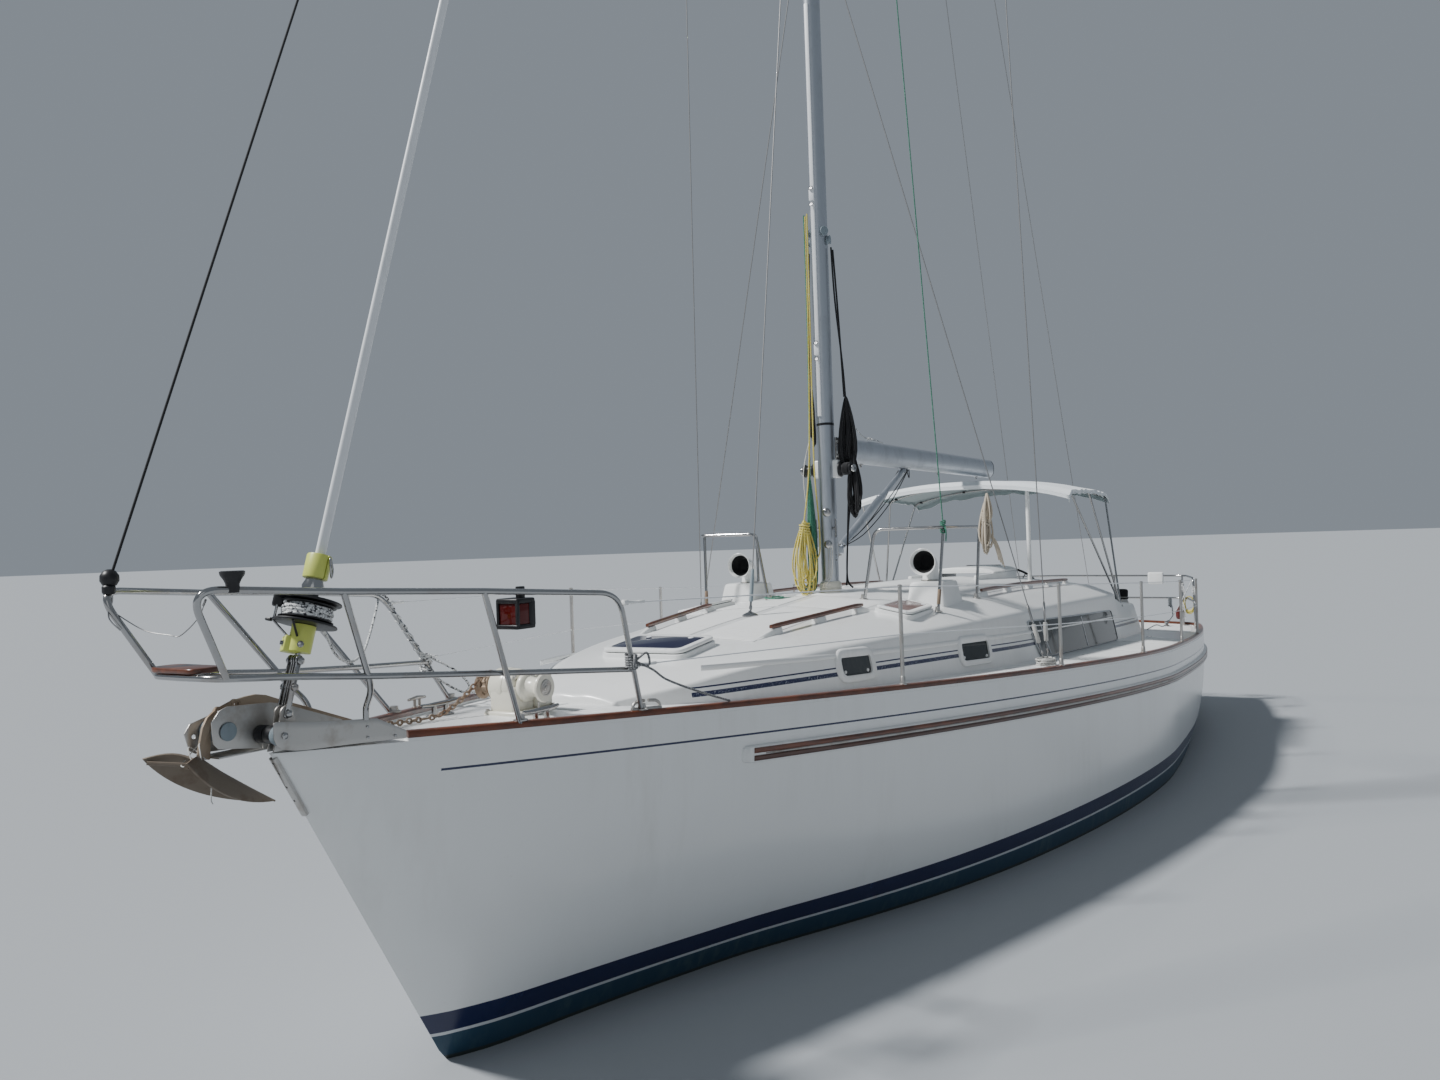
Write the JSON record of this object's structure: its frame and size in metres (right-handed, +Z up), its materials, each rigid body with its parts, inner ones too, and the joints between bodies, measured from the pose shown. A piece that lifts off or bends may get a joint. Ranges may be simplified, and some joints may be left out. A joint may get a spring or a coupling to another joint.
{
  "type": "sailing yacht",
  "caption": "Masthead sloop afloat with furled sails: decked hull, fin keel, rudder, coachroof, deck gear, mast, boom and bimini.",
  "frame": {"origin": "amidships on the centreline at the waterline", "axes": "+X towards the bow, +Y to port, +Z up the mast"},
  "size_m": [13.7261, 4.456, 20.29],
  "materials": {
    "gelcoat": "glossy white moulded gelcoat, dulled by age",
    "antifouling": "matt blue bottom paint",
    "teak": "varnished wood",
    "stainless": "polished stainless steel",
    "rigging_wire": "stranded stainless wire",
    "alloy": "satin anodised",
    "galvanised": "galvanised, rusting",
    "bronze": "dull bronze",
    "smoked_glass": "smoked acrylic",
    "blue_lens": "blue acrylic",
    "brown_lens": "brown smoked acrylic",
    "black_plastic": "black moulded plastic",
    "canvas": "acrylic canvas",
    "engine_paint": "grey paint"
  },
  "bodies": {
    "root": {"hull": "gelcoat", "keel": "antifouling", "shaft_strut": "bronze", "engine": "engine_paint", "coachroof": "gelcoat", "washboard": "teak", "coaming": "gelcoat", "toe_rail": "teak", "stemhead": "stainless", "anchor": "galvanised", "anchor_chain": "galvanised", "windlass": "gelcoat", "pulpit": "stainless", "pulpit_seat": "teak", "pushpit": "stainless", "mast": "alloy", "furler_cage": "black_plastic", "babystay": "rigging_wire", "backstay": "rigging_wire", "pedestal": "gelcoat", "bimini_canopy": "canvas", "bimini_frame": "stainless", "window_port": "smoked_glass", "portlight_port_1": "smoked_glass", "portlight_port_2": "smoked_glass", "rub_rail_port": "teak", "lifelines_port": "stainless", "bow_cleat_port": "stainless", "stern_cleat_port": "stainless", "shrouds_port": "rigging_wire", "guard_bar_port": "stainless", "dorade_port": "gelcoat", "handrail_fore_port": "teak", "handrail_aft_port": "teak", "winch_port": "stainless", "window_stbd": "smoked_glass", "portlight_stbd_1": "smoked_glass", "portlight_stbd_2": "smoked_glass", "rub_rail_stbd": "teak", "lifelines_stbd": "stainless", "bow_cleat_stbd": "stainless", "stern_cleat_stbd": "stainless", "shrouds_stbd": "rigging_wire", "guard_bar_stbd": "stainless", "dorade_stbd": "gelcoat", "handrail_fore_stbd": "teak", "handrail_aft_stbd": "teak", "winch_stbd": "stainless"},
    "boom": {"boom": "alloy"},
    "steering_wheel": {"steering_wheel": "stainless"},
    "rudder": {"rudder": "antifouling"},
    "propeller": {"propeller": "bronze"},
    "furler": {"furler": "alloy"},
    "fore_hatch": {"fore_hatch": "blue_lens"},
    "side_hatch_port": {"side_hatch_port": "brown_lens"},
    "side_hatch_stbd": {"side_hatch_stbd": "brown_lens"},
    "companion_hatch": {"companion_hatch": "gelcoat"}
  },
  "joints": [
    {"name": "boom_swing", "type": "hinge", "parent": "root", "child": "boom", "pos_m": [1.16, 0, 3.11], "axis": [0, 0, 1], "range_deg": [-65, 65]},
    {"name": "wheel_turn", "type": "hinge", "parent": "root", "child": "steering_wheel", "pos_m": [-3.87, 0, 1.49], "axis": [1, 0, 0], "range_deg": [-360, 360]},
    {"name": "rudder_turn", "type": "hinge", "parent": "root", "child": "rudder", "pos_m": [-5.05, 0, -0.7], "axis": [0, 0, 1], "range_deg": [-35, 35]},
    {"name": "propeller_spin", "type": "hinge", "parent": "root", "child": "propeller", "pos_m": [-4.05, 0, -0.86], "axis": [-0.9887, 0, -0.1502], "continuous": true},
    {"name": "furler_spin", "type": "hinge", "parent": "root", "child": "furler", "pos_m": [6.64, 0, 1.79], "axis": [-0.3042, 0, 0.9526], "continuous": true},
    {"name": "fore_hatch_lift", "type": "hinge", "parent": "root", "child": "fore_hatch", "pos_m": [4.11272, 0, 1.71776], "axis": [0, 1, 0], "range_deg": [0, 90]},
    {"name": "side_hatch_lift_port", "type": "hinge", "parent": "root", "child": "side_hatch_port", "pos_m": [2.15674, 0.84977, 1.83247], "axis": [-0.0091, 0.9783, -0.2071], "range_deg": [0, 90]},
    {"name": "side_hatch_lift_stbd", "type": "hinge", "parent": "root", "child": "side_hatch_stbd", "pos_m": [2.15674, -0.84977, 1.83247], "axis": [0.0091, 0.9783, 0.2071], "range_deg": [0, 90]},
    {"name": "companion_hatch_slide", "type": "slide", "parent": "root", "child": "companion_hatch", "axis": [1, 0, 0], "range_m": [0, 0.6]}
  ],
  "couplings": [
    {"joint": "rudder_turn", "follows": "wheel_turn", "ratio": 0.097222}
  ]
}
